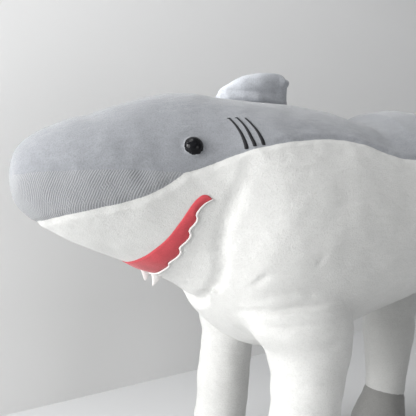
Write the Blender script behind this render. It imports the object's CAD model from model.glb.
"""The looks of a standing plush shark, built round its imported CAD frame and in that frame, in metres."""
import math

import bpy
import numpy as np
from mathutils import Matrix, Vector, noise
from mathutils.bvhtree import BVHTree


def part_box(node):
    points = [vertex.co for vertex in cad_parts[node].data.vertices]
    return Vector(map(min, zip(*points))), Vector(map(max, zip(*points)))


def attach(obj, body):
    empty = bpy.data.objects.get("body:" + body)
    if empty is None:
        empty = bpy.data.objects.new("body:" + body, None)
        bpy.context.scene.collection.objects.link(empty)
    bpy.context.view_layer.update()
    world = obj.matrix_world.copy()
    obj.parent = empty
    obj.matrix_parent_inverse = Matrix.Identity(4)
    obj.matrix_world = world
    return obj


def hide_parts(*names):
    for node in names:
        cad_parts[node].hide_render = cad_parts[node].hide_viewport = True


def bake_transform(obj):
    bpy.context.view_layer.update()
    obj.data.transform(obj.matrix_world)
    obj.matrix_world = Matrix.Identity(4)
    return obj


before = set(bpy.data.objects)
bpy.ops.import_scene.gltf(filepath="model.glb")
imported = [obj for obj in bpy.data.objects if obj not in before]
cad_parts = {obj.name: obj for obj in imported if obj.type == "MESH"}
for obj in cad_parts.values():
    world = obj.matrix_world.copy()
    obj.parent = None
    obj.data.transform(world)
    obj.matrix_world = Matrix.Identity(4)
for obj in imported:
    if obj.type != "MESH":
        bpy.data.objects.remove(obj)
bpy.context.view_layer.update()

MM = 0.001
SIDES = (("left", 1), ("right", -1))
LEG_ENDS = [f"{end}_{side}" for end in ("front", "rear") for side, sign in SIDES]

# Panels of the cover: piece name, CAD node, record slot and the look it takes
PANELS = [
    ("back_panel", "back_cover", "grey_plush", "grey"),
    ("snout_panel", "snout_cover", "ribbed_grey_plush", "ribbed"),
    ("jaw_panel", "jaw_cover", "white_plush", "white"),
    ("flank_panel_left", "flank_cover_left", "white_plush", "white"),
    ("flank_panel_right", "flank_cover_right", "white_plush", "white"),
    ("belly_panel", "belly_cover", "white_plush", "white"),
]
PANELS += [(f"leg_panel_{leg}", f"leg_cover_{leg}", "white_plush", "white") for leg in LEG_ENDS]
PANELS += [(f"boot_panel_{leg}", f"boot_cover_{leg}", "grey_plush", "boot") for leg in LEG_ENDS]
PANELS += [(f"sole_pad_{leg}", f"sole_{leg}", "sole_cloth", "sole") for leg in LEG_ENDS]
NODE_OF = [node for name, node, slot, look in PANELS]
BACK, SNOUT, JAW, BELLY = (NODE_OF.index(f"{part}_cover") for part in ("back", "snout", "jaw", "belly"))
FLANKS = [NODE_OF.index(f"flank_cover_{side}") for side, sign in SIDES]
LEGS = [NODE_OF.index(f"leg_cover_{leg}") for leg in LEG_ENDS]
BOOTS = [NODE_OF.index(f"boot_cover_{leg}") for leg in LEG_ENDS]
SOLES = [NODE_OF.index(f"sole_{leg}") for leg in LEG_ENDS]
FILLINGS = ["body_filling"] + [f"leg_filling_{leg}" for leg in LEG_ENDS]

FAR = 0.1  # stands for any distance over this


# ---------------------------------------------------------------- mesh helpers

def mesh_arrays(mesh):
    """The vertices and triangles of a mesh as arrays."""
    mesh.calc_loop_triangles()
    points = np.empty(len(mesh.vertices) * 3)
    mesh.vertices.foreach_get("co", points)
    triangles = np.empty(len(mesh.loop_triangles) * 3, np.int32)
    mesh.loop_triangles.foreach_get("vertices", triangles)
    return points.reshape(-1, 3), triangles.reshape(-1, 3)


def new_piece(name, points, faces, smooth=True):
    """A mesh object of those points and faces, linked to the scene."""
    mesh = bpy.data.meshes.new(name)
    mesh.from_pydata(np.asarray(points).tolist(), [], [list(map(int, f)) for f in faces])
    mesh.validate()
    mesh.polygons.foreach_set("use_smooth", [smooth] * len(mesh.polygons))
    piece = bpy.data.objects.new(name, mesh)
    bpy.context.scene.collection.objects.link(piece)
    return piece


def bake_modifiers(piece):
    """Applies every modifier of a piece to its mesh."""
    evaluated = piece.evaluated_get(bpy.context.evaluated_depsgraph_get())
    baked = bpy.data.meshes.new_from_object(evaluated)
    piece.modifiers.clear()
    piece.data = baked
    return piece


def remeshed(piece, voxel, rounds, smooth):
    """Turns a piece of several solids into one closed skin and relaxes it."""
    remesh = piece.modifiers.new("remesh", "REMESH")
    remesh.mode = "VOXEL"
    remesh.voxel_size = voxel
    remesh.use_smooth_shade = smooth
    relax = piece.modifiers.new("relax", "SMOOTH")
    relax.factor = 0.5
    relax.iterations = rounds
    return bake_modifiers(piece)


def subdivide(piece):
    """Splits each face in four and rounds the piece."""
    finer = piece.modifiers.new("finer", "SUBSURF")
    finer.levels = finer.render_levels = 1
    bake_modifiers(piece)


def set_points(piece, points):
    """Moves the vertices of a piece."""
    piece.data.vertices.foreach_set("co", points.ravel())
    piece.data.update()


def tree_of(points, triangles):
    """A tree to look up the surface of a mesh."""
    return BVHTree.FromPolygons(points.tolist(), triangles.tolist())


def vertex_normals(mesh):
    """The normals of a mesh's vertices as an array."""
    normals = np.empty(len(mesh.vertices) * 3)
    mesh.vertex_normals.foreach_get("vector", normals)
    return normals.reshape(-1, 3)


def soft_noise(points, scale, seed, stretch=(1, 1, 1)):
    """Smooth noise from about -1 to 1 at each point; scale is in cycles per metre."""
    scaled = points * np.array(stretch) * scale + seed * 17.3
    return np.array([noise.noise(Vector(p)) for p in scaled]) * 1.6


def ramp(values, start, end):
    """0 at start, 1 at end, smooth between."""
    t = np.clip((values - start) / (end - start), 0, 1)
    return t * t * (3 - 2 * t)


NODE_MESHES = {n: mesh_arrays(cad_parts[n].data) for n in NODE_OF + FILLINGS}
NODE_TREES = {n: tree_of(*NODE_MESHES[n]) for n in NODE_OF}


def panel_distances(points):
    """Each point's distance to each panel's CAD node, one column per panel."""
    table = np.full((len(points), len(NODE_OF)), FAR)
    for column, name in enumerate(NODE_OF):
        low, high = NODE_MESHES[name][0].min(0) - FAR / 2, NODE_MESHES[name][0].max(0) + FAR / 2
        near = np.nonzero(((points > low) & (points < high)).all(1))[0]
        find = NODE_TREES[name].find_nearest
        table[near, column] = [min(FAR, find(p)[3]) for p in points[near].tolist()]
    return table


def seam_gap(table):
    """The distance along the surface to the nearest seam, and the two panels that it joins."""
    order = np.argsort(table, axis=1)
    rows = np.arange(len(table))
    first, second = order[:, 0], order[:, 1]
    gap = np.sqrt(np.maximum(table[rows, second] ** 2 - table[rows, first] ** 2, 0))
    return gap, first, second


# ---------------------------------------------------------------- the stuffed skin

def stuffed_skin():
    """One closed skin round the head, torso and legs."""
    points, faces, start = [], [], 0
    for name in NODE_OF + FILLINGS:
        p, t = NODE_MESHES[name]
        points.append(p)
        faces.append(t + start)
        start += len(p)
    return remeshed(new_piece("skin", np.concatenate(points), np.concatenate(faces)), 6 * MM, 9, True)


def inflate(piece, held, pressure, steps, cap):
    """Cloth pressure puffs a closed piece out, at most by cap; held is 1 where stitches keep it down."""
    rest = mesh_arrays(piece.data)[0]
    group = piece.vertex_groups.new(name="stitches")
    for level in range(1, 11):
        inside = np.nonzero(np.round(held * 10) == level)[0]
        group.add(inside.tolist(), level / 10, "REPLACE")
    cloth = piece.modifiers.new("cloth", "CLOTH")
    settings = cloth.settings
    settings.quality = 4
    settings.mass = 0.15
    settings.tension_stiffness = 12
    settings.compression_stiffness = 8
    settings.shear_stiffness = 6
    settings.bending_stiffness = 1.5
    settings.vertex_group_mass = "stitches"
    settings.use_pressure = True
    settings.uniform_pressure_force = pressure
    settings.effector_weights.gravity = 0
    cloth.collision_settings.use_collision = False
    cloth.point_cache.frame_start = 1
    cloth.point_cache.frame_end = steps
    for step in range(1, steps + 1):
        bpy.context.scene.frame_set(step)
    bake_modifiers(piece)
    shift = mesh_arrays(piece.data)[0] - rest
    length = np.linalg.norm(shift, axis=1)
    shift *= np.minimum(1, cap / np.maximum(length, 1e-9))[:, None]
    set_points(piece, rest + shift)
    bpy.context.scene.frame_set(1)
    piece.vertex_groups.clear()


# Depth and half width of each kind of seam valley
PLAIN_SEAM = (1.3 * MM, 3.5 * MM)
NECK_SEAM = (4.5 * MM, 8 * MM)
LEG_TOP_SEAM = (3.0 * MM, 6 * MM)
BOOT_RIM = (1.6 * MM, 3.5 * MM)
SNOUT_SEAM_DEPTH, BELLY_SEAM_DEPTH = 0.5 * MM, 0.4 * MM
NECK_FADE = (0.395, 0.455)  # the neck seam runs out between these heights, under the gills
CHEST_FADE = (0.165, 0.190)  # and the leg tops' seams between these places -y, on the chest

STITCH_HOLD = (4 * MM, 26 * MM)  # from a seam, where the cloth is held to where it is free
SKIN_PRESSURE, SKIN_STEPS, SKIN_CAP = 3.0, 12, 5 * MM

CHEST_SWELL, CHEST_HEIGHT, CHEST_SPREAD = 10 * MM, 0.285, 0.045
CHEST_START = (0.150, 0.190)  # the chest swells from one place -y to the other

FOLDS = [  # on the left side: points along the fold, its depth and its half width
    ([(-.203, .290), (-.180, .2955), (-.150, .3005), (-.100, .305)], 5.5 * MM, 3.8 * MM),
    ([(-.190, .277), (-.165, .279), (-.140, .280)], 2.4 * MM, 3.0 * MM),
    ([(-.140, .258), (-.120, .256), (-.105, .2575)], 1.6 * MM, 2.6 * MM),
    ([(-.196, .322), (-.190, .329), (-.183, .338)], 2.5 * MM, 3.6 * MM),
    ([(-.135, .345), (-.131, .352), (-.126, .362)], 1.5 * MM, 2.4 * MM),
]
FOLD_SIDE = 0.09  # the folds are further out from the middle than this

# The top line is full above the snout, dips before the brow and folds down before the rump: (y, rise)
TOP_LINE = [(-0.452, 0), (-0.442, 1 * MM), (-0.428, 1.5 * MM), (-0.411, 3 * MM), (-0.389, 0.2 * MM),
            (-0.361, -5 * MM), (-0.337, -2.4 * MM), (-0.24, -2.5 * MM), (-0.16, -4.5 * MM),
            (-0.1, -6 * MM), (-0.034, -9 * MM), (-0.003, -12 * MM), (0.02, -5 * MM), (0.04, 3 * MM),
            (0.07, 5 * MM), (0.1, 3 * MM), (0.125, -3 * MM), (0.148, -9 * MM), (0.19, -7 * MM), (0.26, 0)]

EYE_PULL = (14 * MM, 44 * MM)  # round an eye, where the cover is on the CAD cover to where it is free
ABOVE_SKIN = 12 * MM  # how far outside the skin each look inwards starts
SOLE_REACH = 3 * MM  # soles lower than this are set flat on the floor

skin = stuffed_skin()
coarse_gap = seam_gap(panel_distances(mesh_arrays(skin.data)[0]))[0]
inflate(skin, 1 - ramp(coarse_gap, *STITCH_HOLD), SKIN_PRESSURE, SKIN_STEPS, SKIN_CAP)
subdivide(skin)

points, triangles = mesh_arrays(skin.data)
table = panel_distances(points)
gap, first, second = seam_gap(table)
normals = vertex_normals(skin.data)


def joins(group_a, group_b):
    """Where the nearest seam joins a panel of one group to one of the other."""
    there = np.isin(first, group_a) & np.isin(second, group_b)
    return there | (np.isin(first, group_b) & np.isin(second, group_a))


neck = joins([JAW], FLANKS + [BELLY])
leg_top = joins(LEGS, FLANKS + [BELLY])


def seam_valleys():
    """The lift along the normals by which stitches pull each seam in, with a soft swell beside it."""
    depth, width = np.full(len(points), PLAIN_SEAM[0]), np.full(len(points), PLAIN_SEAM[1])
    for where, seam in ((neck, NECK_SEAM), (leg_top, LEG_TOP_SEAM), (joins(LEGS, BOOTS), BOOT_RIM)):
        depth[where], width[where] = seam
    depth[neck] *= 1 - 0.75 * ramp(points[neck, 2], *NECK_FADE)
    depth[leg_top] *= 1 - 0.9 * ramp(-points[leg_top, 1], *CHEST_FADE)
    depth[joins([SNOUT], [BACK])] = SNOUT_SEAM_DEPTH
    depth[joins([BELLY], FLANKS)] = BELLY_SEAM_DEPTH
    swell = np.where(neck | leg_top, 0, 0.25)
    valley = -depth * np.exp(-((gap / width) ** 2))
    return valley + swell * depth * np.exp(-(((gap - 2.2 * width) / width) ** 2))


def lumps():
    """The lift of small puckers beside the seams, of soft lumps of stuffing and of folds in the legs."""
    puckers = 0.7 * MM * soft_noise(points, 70, 1) * np.exp(-gap / (16 * MM))
    stuffing = 1.2 * MM * soft_noise(points, 14, 2) + 0.6 * MM * soft_noise(points, 38, 3)
    leg_folds = 2.6 * MM * soft_noise(points, 9, 4, stretch=(1, 1, 4.5))
    leg_folds *= ramp(points[:, 2], 90 * MM, 250 * MM)
    return puckers + stuffing + np.where(np.isin(first, LEGS), leg_folds, 0)


def chest_share(points):
    """How much each point takes part in the chest, which swells forward under the throat."""
    on_leg = leg_top * (1 - ramp(gap, 0, 36 * MM))
    chest = np.where(np.isin(first, LEGS), on_leg, np.isin(first, FLANKS + [BELLY]))
    chest *= ramp(-points[:, 1], *CHEST_START) * np.maximum(-normals[:, 1], 0) ** 0.5
    chest *= np.exp(-(((points[:, 2] - CHEST_HEIGHT) / CHEST_SPREAD) ** 2))
    return chest * np.where(neck, ramp(gap, 0, 16 * MM), 1)


def eased(points, where, rounds):
    """The points with each one drawn to the middle of its neighbours, by its share in where."""
    ends = np.concatenate([triangles[:, [0, 1]], triangles[:, [1, 2]], triangles[:, [2, 0]]])
    ends = np.concatenate([ends, ends[:, ::-1]])
    count = np.bincount(ends[:, 0], minlength=len(points))
    for _ in range(rounds):
        around = [np.bincount(ends[:, 0], points[ends[:, 1], axis], len(points)) / count for axis in range(3)]
        points = points + 0.6 * where[:, None] * (np.stack(around, 1) - points)
    return points


def fold_lift(points, path, depth, half_width):
    """The lift of one fold along a path of (y, z) points, before it is kept to one side."""
    path = np.array(path)
    near, share = np.full(len(points), FAR), np.zeros(len(points))
    for step, (start, end) in enumerate(zip(path[:-1], path[1:])):
        run = end - start
        t = np.clip(((points[:, 1:] - start) @ run) / (run @ run), 0, 1)
        reach = np.linalg.norm(points[:, 1:] - start - t[:, None] * run, axis=1)
        share = np.where(reach < near, (step + t) / (len(path) - 1), share)
        near = np.minimum(near, reach)
    fading = np.sin(np.pi * np.clip(share, 0.02, 0.98)) ** 0.8
    return -fading * depth * np.exp(-((near / half_width) ** 2))


def pull_to_eye(points, side, sign):
    """Draws the cover down to the rim of the eye on one side."""
    low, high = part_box(f"eye_{side}")
    reach = np.linalg.norm(points - np.array((low + high) / 2), axis=1)
    for i in np.nonzero((reach < EYE_PULL[1]) & (points[:, 0] * sign > 0))[0]:
        outward = Vector(normals[i])
        start = Vector(points[i]) + outward * ABOVE_SKIN
        spot = NODE_TREES["back_cover"].ray_cast(start, -outward, 2 * ABOVE_SKIN)[0]
        if spot is not None:
            points[i] += (1 - float(ramp(reach[i], *EYE_PULL))) * (np.array(spot) - points[i])


points = points + normals * (seam_valleys() + lumps())[:, None]
points[:, 1] -= CHEST_SWELL * chest_share(points)
points = eased(points, leg_top * (1 - ramp(gap, 8 * MM, 22 * MM)), 22)
points = eased(points, neck * (1 - ramp(gap, 2 * MM, 10 * MM)), 4)
folded = sum(fold_lift(points, *fold) for fold in FOLDS) * (np.abs(points[:, 0]) > FOLD_SIDE)
points = points + normals * folded[:, None]
points[:, 2] += np.interp(points[:, 1], *np.array(TOP_LINE).T) * np.maximum(normals[:, 2], 0) ** 2
for side, sign in SIDES:
    pull_to_eye(points, side, sign)
points[:, 2] = np.maximum(points[:, 2], 0)
points[np.isin(first, SOLES) & (points[:, 2] < SOLE_REACH), 2] = 0.0
skin_tree = tree_of(points, triangles)


# ---------------------------------------------------------------- cutting the skin into its panels

ON_SEAM = 0.12 * MM
PANEL_DEPTH = 1.6 * MM
RIM_ANGLE = 55  # degrees; a panel's rim is shaded apart from its face


def cut_along(points, table, triangles, column):
    """Cuts each triangle that the edge of one panel crosses, so that its seam is a clean line."""
    others = np.delete(table, column, 1).min(1)
    inside = table[:, column]
    field = np.sign(others - inside) * np.sqrt(np.abs(others**2 - inside**2))
    sign = np.where(np.abs(field) < ON_SEAM, 0, np.sign(field)).astype(int)
    corner = sign[triangles]
    crossed = (corner.max(1) > 0) & (corner.min(1) < 0)
    whole, made = [triangles[~crossed]], {}
    extra_points, extra_rows = [], []

    def middle(a, b):
        """The vertex where the seam crosses the edge from a to b."""
        key = (min(a, b), max(a, b))
        if key not in made:
            t = field[a] / (field[a] - field[b])
            row = table[a] + t * (table[b] - table[a])
            rest = np.delete(row, column).min()
            row[column] = rest
            made[key] = len(points) + len(extra_points)
            extra_points.append(points[a] + t * (points[b] - points[a]))
            extra_rows.append(row)
        return made[key]

    pieces = []
    for triangle in triangles[crossed].tolist():
        signs = [sign[v] for v in triangle]
        if 0 in signs:
            turn = signs.index(0)
            a, b, c = triangle[turn:] + triangle[:turn]
            m = middle(b, c)
            pieces += [(a, b, m), (a, m, c)]
        else:
            turn = signs.index(1) if signs.count(1) == 1 else signs.index(-1)
            a, b, c = triangle[turn:] + triangle[:turn]
            m, n = middle(a, b), middle(a, c)
            pieces += [(a, m, n), (m, b, c), (m, c, n)]
    if pieces:
        points = np.concatenate([points, extra_points])
        table = np.concatenate([table, extra_rows])
        whole.append(np.array(pieces, np.int32))
    return points, table, np.concatenate(whole)


cut_points, cut_table, cut_triangles = points, table, triangles
for column in range(len(PANELS)):
    cut_points, cut_table, cut_triangles = cut_along(cut_points, cut_table, cut_triangles, column)
label = cut_table[cut_triangles].mean(1).argmin(1)


def panel(column, name, node):
    """One panel of the cover, cut from the skin and given the depth of its cloth."""
    used, faces = np.unique(cut_triangles[label == column], return_inverse=True)
    piece = new_piece(name, cut_points[used], faces.reshape(-1, 3))
    cloth_depth = piece.modifiers.new("cloth_depth", "SOLIDIFY")
    cloth_depth.thickness = PANEL_DEPTH
    cloth_depth.offset = -1
    bake_modifiers(piece)
    piece.data.set_sharp_from_angle(angle=math.radians(RIM_ANGLE))
    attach(piece, "body")
    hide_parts(node)
    return piece


looks_worn = []  # each piece that is made here, with the name of its look
panel_pieces = {}
for column, (name, node, slot, look) in enumerate(PANELS):
    panel_pieces[name] = panel(column, name, node)
    looks_worn.append((panel_pieces[name], look))
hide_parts("body_filling")
for leg in LEG_ENDS:
    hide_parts(f"leg_filling_{leg}")
bpy.data.objects.remove(skin)


# ---------------------------------------------------------------- fins

FIN_PRESSURE, FIN_STEPS = 2.0, 8


def cover_and_filling(name):
    """The meshes of a fin's CAD cover and filling as one."""
    cover = mesh_arrays(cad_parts[f"{name}_cover"].data)
    filling = mesh_arrays(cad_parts[f"{name}_filling"].data)
    return np.concatenate([cover[0], filling[0]]), np.concatenate([cover[1], filling[1] + len(cover[0])])


def puffed_fin(name, voxel, held, cap):
    """A fin of the size of its CAD nodes, puffed out but held near the edge seam at x = 0."""
    fin = remeshed(new_piece(name, *cover_and_filling(name)), voxel, 4, False)
    out = np.abs(mesh_arrays(fin.data)[0][:, 0])
    inflate(fin, 1 - ramp(out, *held), FIN_PRESSURE, FIN_STEPS, cap)
    subdivide(fin)
    return fin


def edge_ridge(points, normals, height, width):
    """The flat seam round a fin's edge stands proud where the two faces meet at x = 0."""
    edge = np.exp(-((points[:, 0] / width) ** 2)) * (1 - np.abs(normals[:, 0]))
    return height * edge


def finish_fin(fin, points):
    """Gives a fin its points and lets it bend from the body at start to its own body at end."""
    set_points(fin, points)
    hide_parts(f"{fin.name}_cover", f"{fin.name}_filling")
    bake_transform(fin)
    looks_worn.append((fin, "fin"))


def curled_tip(p, normals, low, high):
    """The dorsal fin's tip curls over to the rear as a small roll, with a crease in front of it."""
    up = ramp(p[:, 2], low.z + 0.35 * (high.z - low.z), high.z - 4 * MM)
    fold = ramp(p[:, 1], high.y - 24 * MM, high.y - 6 * MM) * up
    p[:, 1] += 0.5 * MM * fold
    p[:, 2] -= 8 * MM * fold
    p[:, 0] *= 1 + 0.55 * fold
    crease = np.exp(-(((p[:, 1] - high.y + 8 * MM) / (2.6 * MM)) ** 2)) * up
    p += normals * (-1.8 * MM * crease)[:, None]


def dorsal_fin():
    """The small fin on the back, thick and rounded in front; its root reaches into the back."""
    low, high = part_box("dorsal_fin_cover")
    fin = puffed_fin("dorsal_fin", 2.4 * MM, (1 * MM, 6 * MM), 2 * MM)
    p, n = mesh_arrays(fin.data)[0], vertex_normals(fin.data)
    p += n * (edge_ridge(p, n, 1.2 * MM, 2.2 * MM) + 0.6 * MM * soft_noise(p, 60, 7))[:, None]
    curled_tip(p, n, low, high)
    front = 1 - ramp(p[:, 1], low.y, low.y + 60 * MM)
    p[:, 2] += 1.5 * MM * front * ramp(p[:, 2], low.z, low.z + 12 * MM)
    flat_top = high.z - 5 * MM
    p[:, 2] = np.where(p[:, 2] > flat_top, flat_top + 0.35 * (p[:, 2] - flat_top), p[:, 2])
    root = 1 - ramp(p[:, 2], low.z, low.z + 9 * MM)
    p[:, 2] -= 9 * MM * root
    p[:, 0] *= 1 + 1.2 * root
    finish_fin(fin, p)


def tail_fin():
    """The upright tail fin; its root reaches into the tail stalk."""
    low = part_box("tail_fin_cover")[0]
    fin = puffed_fin("tail_fin", 4 * MM, (1.5 * MM, 7 * MM), 3 * MM)
    p, n = mesh_arrays(fin.data)[0], vertex_normals(fin.data)
    p += n * (edge_ridge(p, n, 1.5 * MM, 3 * MM) + 1.0 * MM * soft_noise(p, 30, 8))[:, None]
    root = 1 - ramp(p[:, 1], low.y, low.y + 16 * MM)
    p[:, 1] -= 8 * MM * root
    p[:, 0] *= 1 + 1.1 * root
    finish_fin(fin, p)


dorsal_fin()
tail_fin()


# ---------------------------------------------------------------- felt, thread and eyes

AXIS_Z = 0.440  # face features are placed by their angle round this height of the middle line
DEGREE_MM = 1.9  # a degree round the head is about this long
FELT_ROOT = 0.8 * MM  # how far felt is sunk into the skin


def sew_on(piece, node, look):
    """Fixes a piece that stands for a CAD node to the body."""
    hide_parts(node)
    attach(piece, "body")
    looks_worn.append((piece, look))


def add_part(points, faces, part):
    """Adds the points and faces of one part to those of a piece."""
    faces += [tuple(v + len(points) for v in f) for f in part[1]]
    points += part[0]


def on_skin(angle, y, proud=0.0):
    """The point of the skin at an angle from the left (degrees, + up) and a place y along the body."""
    a = math.radians(angle)
    outward = Vector((math.cos(a), 0, math.sin(a)))
    spot, normal = skin_tree.ray_cast(Vector((0, y, AXIS_Z)), outward)[:2]
    if normal.dot(outward) < 0:
        normal = -normal
    return spot + normal * proud


def along(curve, share):
    """A place on an open curve of (angle, y) points, by its share of the length."""
    curve = np.array(curve, float)
    scaled = curve * np.array([DEGREE_MM, 1.0 / MM])
    steps = np.concatenate([[0], np.cumsum(np.linalg.norm(np.diff(scaled, axis=0), axis=1))])
    at = share * steps[-1]
    return np.interp(at, steps, curve[:, 0]), np.interp(at, steps, curve[:, 1])


def rounded(curve, passes=2):
    """A curve with its corners rounded by corner cutting."""
    curve = np.array(curve, float)
    for _ in range(passes):
        first_part = curve[:-1] * 0.75 + curve[1:] * 0.25
        last_part = curve[:-1] * 0.25 + curve[1:] * 0.75
        middle_points = np.stack([first_part, last_part], 1).reshape(-1, 2)
        curve = np.concatenate([curve[:1], middle_points, curve[-1:]])
    return curve


def felt_strip(name, front, rear, columns, rows, thickness, crown):
    """A thin closed felt piece on the skin between two curves of (angle, y) points."""
    top, foot = [], []
    for i in range(columns + 1):
        share = i / columns
        a, b = np.array(along(front, share)), np.array(along(rear, share))
        for j in range(rows + 1):
            u = j / rows
            angle, y = a + (b - a) * u
            bulge = crown * math.sin(math.pi * u)
            top.append(on_skin(angle, y, thickness + bulge))
            foot.append(on_skin(angle, y, -FELT_ROOT))
    count, stride = len(top), rows + 1
    faces = []
    for i in range(columns):
        for j in range(rows):
            k = i * stride + j
            faces.append((k, k + 1, k + stride + 1, k + stride))
            faces.append((count + k, count + k + stride, count + k + stride + 1, count + k + 1))
    for i in range(columns):
        for j, flip in ((0, False), (rows, True)):
            k = i * stride + j
            side = (k, k + stride, count + k + stride, count + k)
            faces.append(tuple(reversed(side)) if flip else side)
    for i, flip in ((0, True), (columns, False)):
        for j in range(rows):
            k = i * stride + j
            side = (k, k + 1, count + k + 1, count + k)
            faces.append(tuple(reversed(side)) if flip else side)
    return new_piece(name, top + foot, faces)


def both_sides(half):
    """A curve from the left corner to the middle, carried on to the right corner."""
    return list(half) + [(-180 - angle, y) for angle, y in reversed(half) if angle > -89.9]


# The mouth's edges on the left side, from its corner to under the chin: (angle, y)
MOUTH_FRONT = [(-10, -.241), (-7.6, -.246), (-8, -.253), (-13, -.262), (-23, -.272), (-38, -.287),
               (-51, -.2995), (-65, -.3105), (-75, -.315), (-90, -.3175)]
MOUTH_REAR = [(-10, -.241), (-12.5, -.249), (-16, -.255), (-19.4, -.2585), (-21.5, -.256), (-24, -.2575),
              (-28.9, -.2645), (-31.8, -.261), (-35, -.263), (-41, -.2715), (-44.2, -.268), (-48, -.269),
              (-56, -.2775), (-59, -.2745), (-65, -.277), (-76, -.2815), (-83, -.2865), (-90, -.284)]
mouth_front = both_sides(rounded(MOUTH_FRONT))
mouth_rear = both_sides(rounded(MOUTH_REAR, 1))
mouth = felt_strip("mouth_lining", mouth_front, mouth_rear, 150, 8, 0.9 * MM, 1.4 * MM)
sew_on(mouth, "mouth_lining", "red")

LIP_WIDTH = 2.4 * MM
lip_rear = [(angle, y + LIP_WIDTH) for angle, y in mouth_rear]
lip = felt_strip("lip_edge", mouth_rear, lip_rear, 180, 2, 1.5 * MM, 0.8 * MM)
sew_on(lip, "lip_edge", "white_felt")

TEETH = ((-88, -.2885, 15.5 * MM, -2 * MM), (-84, -.277, 16.5 * MM, -6 * MM))  # angle, y, length, sway


def tooth(centre_angle, y, length, sway):
    """A small curved felt tooth that hangs from the lip, wide at its root."""
    root = on_skin(centre_angle, y, -2.5 * MM)
    rings, around = 10, 16
    points, faces = [], []
    for i in range(rings + 1):
        s = i / rings
        half_width = 8.2 * MM * (1 - s) ** 0.8 + 0.3 * MM
        half_depth = 2.2 * MM * (1 - s) ** 0.6 + 0.25 * MM
        centre = root + Vector((0, sway * s * s, -length * s))
        for k in range(around):
            a = 2 * math.pi * k / around
            points.append(centre + Vector((math.sin(a) * half_depth, math.cos(a) * half_width, 0)))
    for i in range(rings):
        for k in range(around):
            q = i * around + k
            r = i * around + (k + 1) % around
            faces.append((q, q + around, r + around, r))
    faces.append(tuple(range(around)))
    faces.append(tuple(reversed(range(rings * around, (rings + 1) * around))))
    return points, faces


tooth_points, tooth_faces = [], []
for shape in TEETH:
    add_part(tooth_points, tooth_faces, tooth(*shape))
sew_on(new_piece("chin_teeth", tooth_points, tooth_faces), "chin_teeth", "white_felt")

# The three gill marks on the left side, from top to foot: (angle, y)
GILLS = [[(38.2, -.2145), (38.9, -.2120), (38, -.2117), (33, -.208), (27, -.205), (21, -.2035),
          (16.5, -.203)],
         [(38, -.2055), (38.5, -.2032), (37.5, -.2027), (32.5, -.199), (26, -.1965), (21, -.195),
          (17.5, -.194)],
         [(37.5, -.194), (32, -.190), (26.5, -.1865), (21.5, -.185), (18, -.184)]]


def satin_band(curve, sign):
    """A band of satin stitches along a curve: short threads side by side, wider at the foot."""
    points, faces = [], []
    curve = rounded(curve)
    stitches = 46
    for i in range(stitches + 1):
        share = i / stitches
        angle, y = along(curve, share)
        half = (1.1 + 1.3 * share**1.3) * MM * (0.55 if i in (0, stitches) else 1.0)
        thread = 0.35 * MM * (i % 2)
        for u in (-1, -0.6, 0, 0.6, 1):
            rise = 1.1 * MM * math.sqrt(max(0, 1 - u * u)) + thread - 0.3 * MM
            spot = on_skin(angle, y + u * half, rise)
            points.append(Vector((spot.x * sign, spot.y, spot.z)))
        if i:
            k = 5 * i
            faces += [(k + j, k + j + 1, k + j - 4, k + j - 5) for j in range(4)]
    return points, faces


for side, sign in SIDES:
    gill_points, gill_faces = [], []
    for curve in GILLS:
        add_part(gill_points, gill_faces, satin_band(curve, sign))
    gill = new_piece(f"gill_stitches_{side}", gill_points, gill_faces)
    sew_on(gill, f"gill_stitches_{side}", "thread")


# ---------------------------------------------------------------- materials

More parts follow.
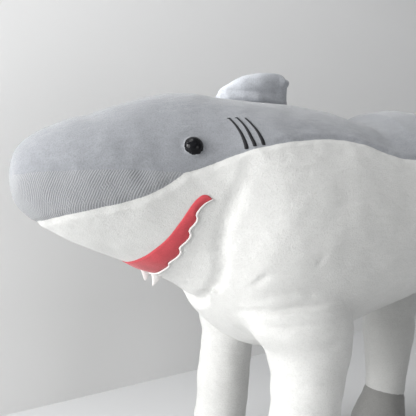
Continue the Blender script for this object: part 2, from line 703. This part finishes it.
class Look:
    """A material under construction, with short ways to add and join nodes."""

    def __init__(self, name, roughness, **sockets):
        self.material = bpy.data.materials.new(name)
        self.material.use_nodes = True
        self.nodes = self.material.node_tree.nodes
        self.shader = self.nodes["Principled BSDF"]
        self.shader.inputs["Roughness"].default_value = roughness
        for socket, value in sockets.items():
            self.shader.inputs[socket.replace("_", " ")].default_value = value
        self.place = self.add("ShaderNodeTexCoord").outputs["Object"]

    def add(self, kind, **settings):
        """A new node with those settings."""
        node = self.nodes.new(kind)
        for key, value in settings.items():
            setattr(node, key, value)
        return node

    def join(self, output, socket):
        """Links an output to a socket."""
        self.material.node_tree.links.new(output, socket)

    def stretched(self, scale):
        """Places scaled along each axis, for streaks."""
        node = self.add("ShaderNodeMapping")
        node.inputs["Scale"].default_value = scale
        self.join(self.place, node.inputs["Vector"])
        return node.outputs["Vector"]

    def along_axis(self, axis):
        """The place along one axis, in metres."""
        split = self.add("ShaderNodeSeparateXYZ")
        self.join(self.place, split.inputs[0])
        return split.outputs[axis]

    def noise(self, scale, detail=3.0, roughness=0.55, vector=None, distortion=0.0):
        """Noise from 0 to 1; scale is in cycles per metre."""
        node = self.add("ShaderNodeTexNoise")
        node.inputs["Scale"].default_value = scale
        node.inputs["Detail"].default_value = detail
        node.inputs["Roughness"].default_value = roughness
        node.inputs["Distortion"].default_value = distortion
        self.join(vector or self.place, node.inputs["Vector"])
        return node.outputs["Fac"]

    def sum(self, operation, a, b):
        """One arithmetic step on two numbers or outputs."""
        node = self.add("ShaderNodeMath", operation=operation)
        for socket, value in zip(node.inputs, (a, b)):
            if isinstance(value, (int, float)):
                socket.default_value = value
            else:
                self.join(value, socket)
        return node.outputs[0]

    def blend(self, share, a, b):
        """A colour between a and b, which are colours or outputs."""
        node = self.add("ShaderNodeMix", data_type="RGBA")
        self.join(share, node.inputs["Factor"])
        for socket, value in ((node.inputs[6], a), (node.inputs[7], b)):
            if isinstance(value, tuple):
                socket.default_value = (*value, 1)
            else:
                self.join(value, socket)
        return node.outputs[2]

    def spread(self, value, low, high):
        """value from low to high, brought to 0 to 1 and clamped."""
        node = self.add("ShaderNodeMapRange")
        node.inputs["From Min"].default_value = low
        node.inputs["From Max"].default_value = high
        self.join(value, node.inputs["Value"])
        return node.outputs["Result"]

    def colour(self, output):
        """Sets the base colour."""
        self.join(output, self.shader.inputs["Base Color"])

    def bump(self, *layers):
        """Layers of (height output, strength, distance in metres), coarse first."""
        last = None
        for height, strength, distance in layers:
            node = self.add("ShaderNodeBump")
            node.inputs["Strength"].default_value = strength
            node.inputs["Distance"].default_value = distance
            self.join(height, node.inputs["Height"])
            if last:
                self.join(last, node.inputs["Normal"])
            last = node.outputs["Normal"]
        self.join(last, self.shader.inputs["Normal"])


def tint(colour, factor):
    """A lighter or darker shade of a colour."""
    return tuple(min(1.0, channel * factor) for channel in colour)


def plush(name, colour, contrast=1.0, sheen=0.35, pile=1.0, pale=None):
    """Short pile: tufts, brushed streaks and broad patches; pale is where its nap goes from pale to plain."""
    look = Look(name, 0.92, Sheen_Weight=sheen, Sheen_Roughness=0.45, Specular_IOR_Level=0.15)
    patches = look.spread(look.noise(11, 2), 0.35, 0.65)
    streaks = look.noise(150, 4, 0.6, look.stretched((1, 0.4, 1)))
    tufts = look.noise(620, 3, 0.65)
    broad = look.blend(patches, tint(colour, 1 - 0.07 * contrast), tint(colour, 1 + 0.05 * contrast))
    brushed = look.blend(look.spread(streaks, 0.3, 0.7), tint(colour, 1 - 0.10 * contrast), broad)
    nap = look.blend(look.spread(tufts, 0.2, 0.55), tint(colour, 1 - 0.24 * contrast), brushed)
    if pale:
        bright = look.blend(look.spread(tufts, 0.2, 0.55), tint(colour, 1.15), tint(colour, 1.6))
        nap = look.blend(look.spread(look.along_axis("Y"), *pale), bright, nap)
    look.colour(nap)
    look.bump((streaks, 0.35 * pile, 1.6 * MM), (tufts, 0.55 * pile, 0.9 * MM))
    return look.material


def rib_rows(look, slope, pitch, wobble):
    """Rows of ribs at a slope in side view, from 0 in the furrows to 1 on the ridges."""
    across = look.sum("ADD", look.along_axis("Y"), look.sum("ABSOLUTE", look.along_axis("X"), 0.0))
    a = math.radians(slope)
    one = look.sum("MULTIPLY", across, -math.sin(a))
    two = look.sum("MULTIPLY", look.along_axis("Z"), math.cos(a))
    place = look.sum("ADD", look.sum("ADD", one, two), wobble)
    wave = look.sum("SINE", look.sum("MULTIPLY", place, 2 * math.pi / pitch), 0.0)
    return look.sum("ADD", look.sum("MULTIPLY", wave, 0.5), 0.5)


def ribbed(name, colour):
    """Ribbed pile: slanting rows about 3 mm apart, broken up and crossed by a fainter second set."""
    look = Look(name, 0.9, Sheen_Weight=0.3, Sheen_Roughness=0.45, Specular_IOR_Level=0.15)
    wobble = look.sum("MULTIPLY", look.sum("SUBTRACT", look.noise(40, 2), 0.5), 3.2 * MM)
    main_rows = rib_rows(look, 56, 2.9 * MM, wobble)
    cross_rows = rib_rows(look, -52, 3.6 * MM, wobble)
    broken = look.spread(look.noise(150, 3, 0.6), 0.28, 0.5)
    ribs = look.sum("ADD", look.sum("MULTIPLY", main_rows, broken),
                    look.sum("MULTIPLY", cross_rows, look.sum("SUBTRACT", 1.0, broken)))
    tufts = look.noise(650, 3, 0.65)
    patches = look.spread(look.noise(14, 2), 0.35, 0.65)
    broad = look.blend(patches, tint(colour, 0.95), tint(colour, 1.06))
    shaded = look.blend(look.spread(ribs, 0.1, 0.8), tint(colour, 0.68), tint(colour, 1.18))
    mixed = look.blend(look.spread(look.noise(22, 2), 0.2, 0.62), broad, shaded)
    look.colour(look.blend(look.spread(tufts, 0.2, 0.5), tint(colour, 0.85), mixed))
    look.bump((ribs, 0.45, 1.2 * MM), (tufts, 0.4, 0.8 * MM))
    return look.material


def felt(name, colour):
    """Pressed felt: matted fibres with small darker specks."""
    look = Look(name, 0.88, Sheen_Weight=0.25, Sheen_Roughness=0.4, Specular_IOR_Level=0.2)
    fibres = look.noise(900, 4, 0.7, look.stretched((1, 0.6, 1.3)), distortion=1.2)
    patches = look.spread(look.noise(60, 2), 0.3, 0.7)
    broad = look.blend(patches, tint(colour, 0.9), tint(colour, 1.08))
    look.colour(look.blend(look.spread(fibres, 0.25, 0.6), tint(colour, 0.72), broad))
    look.bump((look.noise(180, 2), 0.3, 0.8 * MM), (fibres, 0.5, 0.5 * MM))
    return look.material


def satin_thread(name):
    """Black embroidery thread with a soft shine that breaks up from strand to strand."""
    look = Look(name, 0.5, Specular_IOR_Level=0.25)
    strands = look.noise(1400, 2, 0.6, look.stretched((0.4, 0.2, 1.0)))
    look.colour(look.blend(strands, (0.003, 0.003, 0.004), (0.014, 0.014, 0.017)))
    look.join(look.spread(strands, -0.9, 1.6), look.shader.inputs["Roughness"])
    look.bump((strands, 0.6, 0.3 * MM))
    return look.material


def polished_button(name):
    """Black plastic eye: a deep polish with faint handling haze."""
    look = Look(name, 0.06, Specular_IOR_Level=0.13)
    haze = look.noise(240, 4, 0.6)
    look.colour(look.blend(look.spread(haze, 0.3, 0.8), (0.004, 0.004, 0.005), (0.012, 0.012, 0.014)))
    look.join(look.sum("MULTIPLY", look.spread(haze, 0.2, 0.9), 0.14), look.shader.inputs["Roughness"])
    look.bump((haze, 0.04, 0.1 * MM))
    return look.material


def sole_cloth(name, colour):
    """Woven sole cloth with a fine grid and scuffs."""
    look = Look(name, 0.95, Specular_IOR_Level=0.2)
    warp = look.add("ShaderNodeTexWave", wave_type="BANDS", bands_direction="X")
    weft = look.add("ShaderNodeTexWave", wave_type="BANDS", bands_direction="Y")
    for weave in (warp, weft):
        weave.inputs["Scale"].default_value = 160
        weave.inputs["Distortion"].default_value = 0.6
        look.join(look.place, weave.inputs["Vector"])
    grid = look.sum("MULTIPLY", warp.outputs["Fac"], weft.outputs["Fac"])
    scuffs = look.spread(look.noise(45, 4, 0.7), 0.5, 0.75)
    woven = look.blend(grid, tint(colour, 0.6), tint(colour, 1.2))
    look.colour(look.blend(scuffs, woven, tint(colour, 1.7)))
    look.bump((grid, 0.6, 0.5 * MM))
    return look.material


def moulded(name, colour):
    """Moulded plastic with a fine spark-eroded grain."""
    look = Look(name, 0.55)
    grain = look.noise(1200, 3, 0.6)
    look.colour(look.blend(grain, tint(colour, 0.88), tint(colour, 1.1)))
    look.join(look.spread(grain, -1.0, 2.0), look.shader.inputs["Roughness"])
    look.bump((grain, 0.25, 0.2 * MM))
    return look.material


def steel(name):
    """Drawn steel tube with fine marks along its length."""
    look = Look(name, 0.35, Metallic=1.0)
    marks = look.noise(500, 4, 0.65, look.stretched((1, 1, 0.1)))
    look.colour(look.blend(marks, (0.45, 0.45, 0.47), (0.68, 0.68, 0.70)))
    look.join(look.spread(marks, -0.5, 2.0), look.shader.inputs["Roughness"])
    look.bump((marks, 0.15, 0.1 * MM))
    return look.material


GREY = (0.312, 0.323, 0.345)
WHITE = (0.635, 0.635, 0.622)
BOOT_GREY = (0.295, 0.293, 0.285)
LOOKS = {
    "grey": plush("grey_plush_pile", GREY, contrast=1.35, pile=1.3),
    "fin": plush("grey_fin_pile", tint(GREY, 1.5), contrast=1.6, pile=1.5, pale=(-0.19, -0.125)),
    "boot": plush("grey_boot_pile", BOOT_GREY, contrast=0.9, sheen=0.25),
    "white": plush("white_plush_pile", WHITE, contrast=0.7, sheen=0.2, pile=1.5),
    "ribbed": ribbed("ribbed_grey_pile", (0.31, 0.317, 0.33)),
    "sole": sole_cloth("woven_sole", (0.14, 0.145, 0.155)),
    "red": felt("rose_felt", (0.52, 0.07, 0.085)),
    "white_felt": felt("white_felt", (0.83, 0.80, 0.79)),
    "thread": satin_thread("black_satin_thread"),
    "button": polished_button("black_button_eye"),
    "washer": moulded("washer_plastic", (0.75, 0.75, 0.74)),
    "board": moulded("grey_board", (0.22, 0.22, 0.23)),
    "steel": steel("drawn_steel"),
}


# The look of each CAD node that is shown, by the start of its name
NODE_LOOKS = (("eye_washer", "washer"), ("eye_", "button"), ("foot_plate", "board"), ("tube_clamps", "board"),
              ("", "steel"))


def wear(piece, look):
    """Gives a whole piece one look."""
    piece.data.materials.clear()
    piece.data.materials.append(LOOKS[look])


def wear_on_node(name, node):
    """Gives a CAD node its look, in each of its material slots."""
    look = next(look for start, look in NODE_LOOKS if name.startswith(start))
    if not node.material_slots:
        node.data.materials.append(LOOKS[look])
    for place in node.material_slots:
        place.material = LOOKS[look]
    node.data.polygons.foreach_set("use_smooth", [True] * len(node.data.polygons))


for piece, look in looks_worn:
    wear(piece, look)
for name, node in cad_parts.items():
    if not node.hide_render:
        wear_on_node(name, node)


# ---------------------------------------------------------------- floor, light and camera

def stage_material(name, colour, foot):
    """Matt paint; foot is how much darker it is at the floor than from a metre up."""
    look = Look(name, 0.85)
    look.colour(look.blend(look.spread(look.along_axis("Z"), 0.2, 1.0), tint(colour, foot), colour))
    look.bump((look.noise(40, 3), 0.05, 0.5 * MM))
    return look.material


def backdrop(name, corners, colour, foot=1.0):
    """A plain sheet of the set, which is no part of the shark."""
    sheet = new_piece(name, corners, [(0, 1, 2, 3)])
    sheet.data.materials.append(stage_material(f"pale_{name}", colour, foot))


# The wall runs along the shark's right side, turned a little away towards the tail
WALL_FOOT, WALL_RUN = Vector((-0.5475, -0.0643, 0)), Vector((-0.268, 0.963, 0))
WALL_TOP = Vector((0, 0, 4))
WALL_WHITE, FLOOR_GREY = (1.0, 1.0, 0.995), (0.63, 0.635, 0.64)
wall_front, wall_rear = WALL_FOOT - 5 * WALL_RUN, WALL_FOOT + 6 * WALL_RUN
wall = [wall_front, wall_rear, wall_rear + WALL_TOP, wall_front + WALL_TOP]
backdrop("wall", wall, WALL_WHITE, foot=0.72)
backdrop("floor", [(-9, -9, 0), (9, -9, 0), (9, 9, 0), (-9, 9, 0)], FLOOR_GREY)


def area_light(name, place, target, size, power, colour=(1, 1, 1)):
    """A round soft light at a place, turned to a target."""
    lamp = bpy.data.lights.new(name, "AREA")
    lamp.shape = "DISK"
    lamp.size = size
    lamp.energy = power
    lamp.color = colour
    holder = bpy.data.objects.new(name, lamp)
    holder.location = place
    holder.rotation_euler = (Vector(target) - Vector(place)).to_track_quat("-Z", "Y").to_euler()
    bpy.context.scene.collection.objects.link(holder)


area_light("key", (0.75, -2.4, 0.7), (0, -0.2, 0.35), 1.5, 39, (1, 1, 0.99))
area_light("rim", (0.05, -1.55, 0.8), (0, -0.4, 0.4), 0.5, 11)
area_light("top", (0.1, -1.0, 2.3), (0, -0.2, 0.3), 1.4, 21)
area_light("low_fill", (1.6, 0.5, 0.25), (0, 0.25, 0.12), 0.9, 5)

WORLD_COLOUR, WORLD_STRENGTH = (0.97, 0.98, 1.0, 1), 0.325
world = bpy.data.worlds.new("studio")
world.use_nodes = True
background = world.node_tree.nodes["Background"]
background.inputs["Color"].default_value = WORLD_COLOUR
background.inputs["Strength"].default_value = WORLD_STRENGTH
bpy.context.scene.world = world
bpy.context.scene.view_settings.view_transform = "Standard"

CAMERA_PLACE = (0.638, -0.449, 0.417)
VIEW_AZIMUTH, VIEW_DROP = math.radians(68.9), math.radians(0.67)
camera_data = bpy.data.cameras.new("camera")
camera_data.sensor_width = 36
camera_data.lens = 44.5
camera_data.clip_start = 0.01
camera = bpy.data.objects.new("camera", camera_data)
camera.location = CAMERA_PLACE
looking = Vector((-math.sin(VIEW_AZIMUTH), math.cos(VIEW_AZIMUTH), -math.tan(VIEW_DROP)))
camera.rotation_euler = looking.to_track_quat("-Z", "Y").to_euler()
bpy.context.scene.collection.objects.link(camera)
bpy.context.scene.camera = camera
